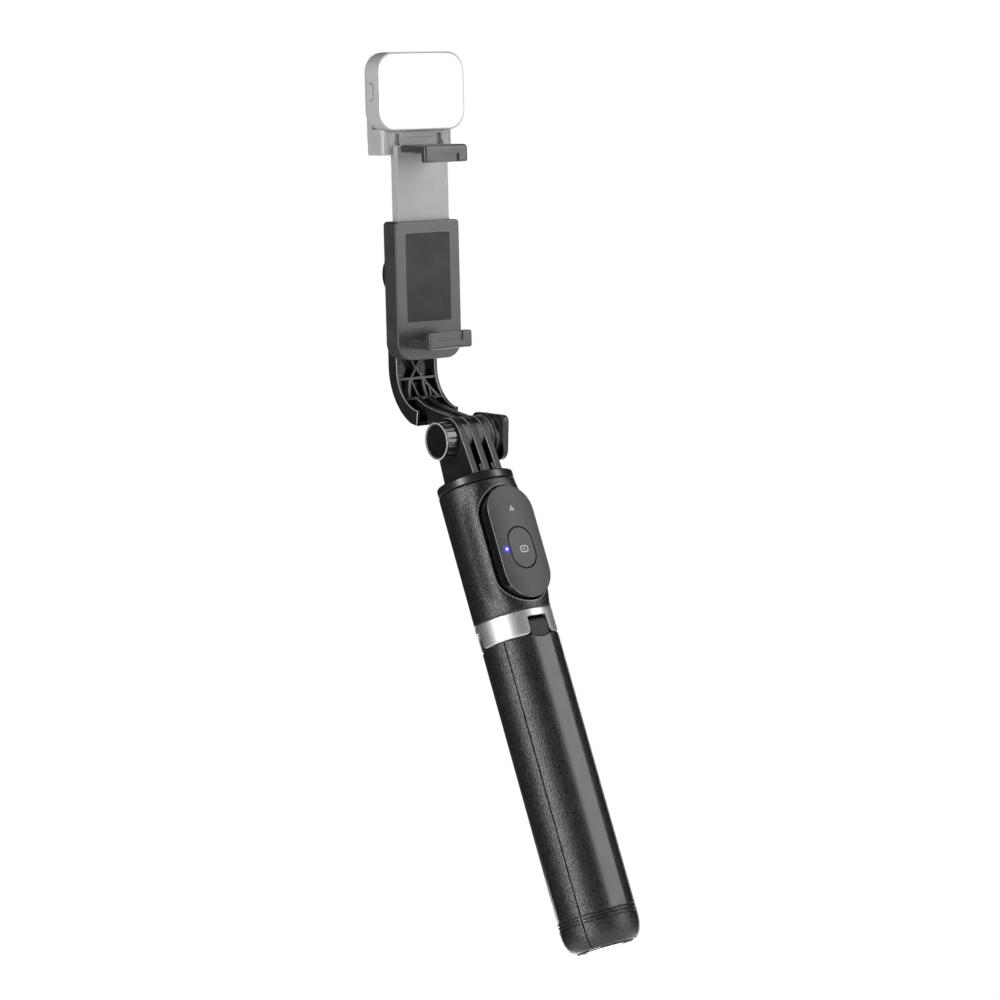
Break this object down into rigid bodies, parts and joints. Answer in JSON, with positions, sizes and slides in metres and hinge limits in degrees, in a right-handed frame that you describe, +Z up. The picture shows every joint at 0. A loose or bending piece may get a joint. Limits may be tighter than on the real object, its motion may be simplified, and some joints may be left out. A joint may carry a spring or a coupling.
{
  "type": "selfie stick",
  "caption": "Hand-held phone stick with a tripod grip, telescopic pole, tilting and swivelling sprung phone clamp, fill light and detachable remote.",
  "frame": {"origin": "centre of the closed grip's foot, on the face it stands on", "axes": "+Z up along the pole, -Y towards the remote and the phone screen side, +X towards the hinge nut"},
  "size_m": [0.0441, 0.0664, 0.3694],
  "materials": {
    "black_texture": "fine-grained moulded black plastic",
    "black_satin": "smooth satin black plastic",
    "black_gloss": "glossy black plastic",
    "graphite": "soft satin dark grey plastic",
    "grey_plastic": "satin mid-grey plastic",
    "collar_metal": "satin turned aluminium",
    "steel": "drawn stainless steel",
    "brass": "plain brass",
    "rubber": "matt black rubber",
    "diffuser": "opal white, lit",
    "led_blue": "blue light pipe, lit",
    "board": "green solder mask",
    "led_chip": "phosphor yellow",
    "foil": "laminated foil pouch"
  },
  "bodies": {
    "handle": {"handle_shell": "black_texture", "remote_cradle": "black_satin", "collar": "collar_metal", "leg_hub": "black_satin", "leg_pin_front": "steel", "leg_pin_left": "steel", "leg_pin_right": "steel", "tube_end_plug": "black_satin", "tube_1": "steel"},
    "leg_front": {"leg_front": "black_texture", "leg_foot_front": "rubber"},
    "leg_left": {"leg_left": "black_texture", "leg_foot_left": "rubber"},
    "leg_right": {"leg_right": "black_texture", "leg_foot_right": "rubber"},
    "stage_2": {"tube_2": "steel", "sleeve_2": "brass"},
    "stage_3": {"tube_3": "steel", "sleeve_3": "brass"},
    "stage_4": {"tube_4": "steel", "sleeve_4": "brass"},
    "stage_5": {"tube_5": "steel", "sleeve_5": "brass"},
    "head": {"tube_6": "steel", "sleeve_6": "brass", "fork_head": "black_satin", "nut_block": "black_satin", "hinge_nut": "steel"},
    "knob": {"hinge_knob": "black_satin", "hinge_bolt": "steel"},
    "arm": {"arm": "black_satin"},
    "clamp": {"swivel_screw": "steel", "swivel_washer": "black_satin", "clamp_base": "grey_plastic", "clamp_cover": "grey_plastic", "clamp_rod_left": "steel", "clamp_rod_right": "steel", "clamp_spring_left": "steel", "clamp_spring_right": "steel", "jaw_pad_lower": "rubber", "back_pad": "rubber"},
    "slider": {"clamp_slider": "grey_plastic", "jaw_pad_upper": "rubber", "light_housing": "grey_plastic", "light_diffuser": "diffuser", "light_board": "board", "light_leds": "led_chip", "light_battery": "foil", "light_port": "steel"},
    "light_button": {"light_button": "black_satin"},
    "remote": {"remote_base": "black_gloss", "remote_face": "graphite", "remote_board": "board", "remote_cell": "steel", "remote_led": "led_blue", "remote_switch": "steel"},
    "remote_button": {"remote_button": "graphite"}
  },
  "joints": [
    {"name": "leg_front_fold", "type": "hinge", "parent": "handle", "child": "leg_front", "pos_m": [0, -0.0123, 0.1302], "axis": [-1, 0, 0], "range_deg": [0, 65]},
    {"name": "leg_right_fold", "type": "hinge", "parent": "handle", "child": "leg_right", "pos_m": [0.01065, 0.00615, 0.1302], "axis": [0.5, -0.866, 0], "range_deg": [0, 65]},
    {"name": "leg_left_fold", "type": "hinge", "parent": "handle", "child": "leg_left", "pos_m": [-0.01065, 0.00615, 0.1302], "axis": [0.5, 0.866, 0], "range_deg": [0, 65]},
    {"name": "pole_stage_2", "type": "slide", "parent": "handle", "child": "stage_2", "axis": [0, 0, 1], "range_m": [0, 0.145]},
    {"name": "pole_stage_3", "type": "slide", "parent": "stage_2", "child": "stage_3", "axis": [0, 0, 1], "range_m": [0, 0.145]},
    {"name": "pole_stage_4", "type": "slide", "parent": "stage_3", "child": "stage_4", "axis": [0, 0, 1], "range_m": [0, 0.145]},
    {"name": "pole_stage_5", "type": "slide", "parent": "stage_4", "child": "stage_5", "axis": [0, 0, 1], "range_m": [0, 0.145]},
    {"name": "pole_head", "type": "slide", "parent": "stage_5", "child": "head", "axis": [0, 0, 1], "range_m": [0, 0.145]},
    {"name": "knob_turn", "type": "hinge", "parent": "head", "child": "knob", "pos_m": [0, 0, 0.213], "axis": [1, 0, 0], "continuous": true},
    {"name": "head_tilt", "type": "hinge", "parent": "head", "child": "arm", "pos_m": [0, 0, 0.213], "axis": [1, 0, 0], "range_deg": [-65, 120]},
    {"name": "clamp_swivel", "type": "hinge", "parent": "arm", "child": "clamp", "pos_m": [0, 0.00003, 0.28509], "axis": [0, 0.9157, 0.4019], "range_deg": [-90, 90]},
    {"name": "clamp_slide", "type": "slide", "parent": "clamp", "child": "slider", "axis": [0, -0.4019, 0.9157], "range_m": [-0.018, 0.012], "deforming": ["clamp_spring_left", "clamp_spring_right"]},
    {"name": "light_button_press", "type": "slide", "parent": "slider", "child": "light_button", "axis": [1, 0, 0], "range_m": [0, 0.0004], "stiffness_N_per_m": 4000},
    {"name": "remote_release", "type": "slide", "parent": "handle", "child": "remote", "axis": [0, -1, 0], "range_m": [0, 0.012]},
    {"name": "remote_button_press", "type": "slide", "parent": "remote", "child": "remote_button", "axis": [0, 1, 0], "range_m": [0, 0.0004], "stiffness_N_per_m": 4000}
  ]
}
